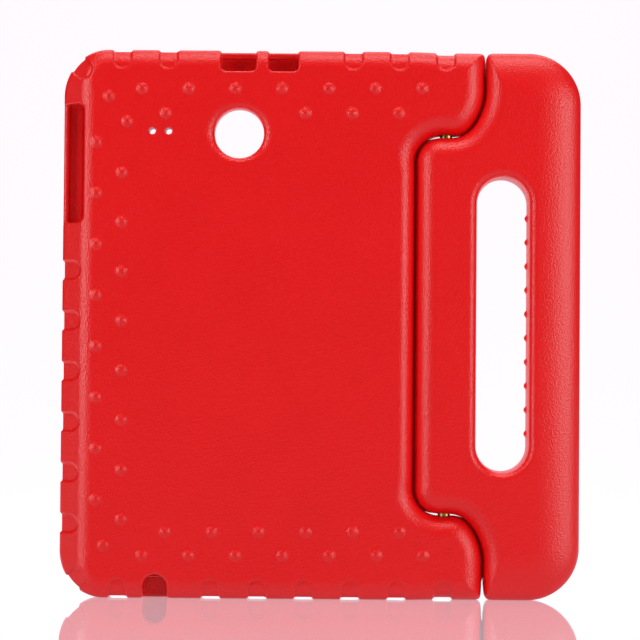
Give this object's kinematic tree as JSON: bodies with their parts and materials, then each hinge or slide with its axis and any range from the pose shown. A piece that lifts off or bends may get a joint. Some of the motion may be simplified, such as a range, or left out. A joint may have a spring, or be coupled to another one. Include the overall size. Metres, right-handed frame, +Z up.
{
  "type": "tablet case",
  "caption": "Soft foam shell that holds a tablet, open over the screen, with a hinged carry handle along one long side that folds back to become a stand.",
  "frame": {"origin": "on the surface that the case stands on, under the middle of its box", "axes": "+X from the shell's plain side to the handle, +Y from the case's back to the tablet's screen, +Z up, along the handle and the hinge"},
  "size_m": [0.2486, 0.024, 0.262],
  "materials": {
    "red_foam": "closed-cell EVA foam, moulded, satin with a fine leather grain",
    "black_plastic": "moulded ABS, matt",
    "white_nylon": "moulded nylon, natural",
    "brass_plate": "brass-plated steel, lightly worn"
  },
  "bodies": {
    "shell": {"foam_shell": "red_foam", "ear_socket_upper": "black_plastic", "ear_socket_lower": "black_plastic", "hinge_pin_upper": "brass_plate", "hinge_pin_lower": "brass_plate"},
    "handle": {"foam_handle": "red_foam", "hinge_core_back": "black_plastic", "hinge_core_front": "black_plastic", "friction_sleeve_upper": "white_nylon", "friction_sleeve_lower": "white_nylon"}
  },
  "joints": [
    {"name": "handle_fold", "type": "hinge", "parent": "shell", "child": "handle", "pos_m": [0.0597, 0, 0.131], "axis": [0, 0, 1], "range_deg": [-105, 105]}
  ]
}
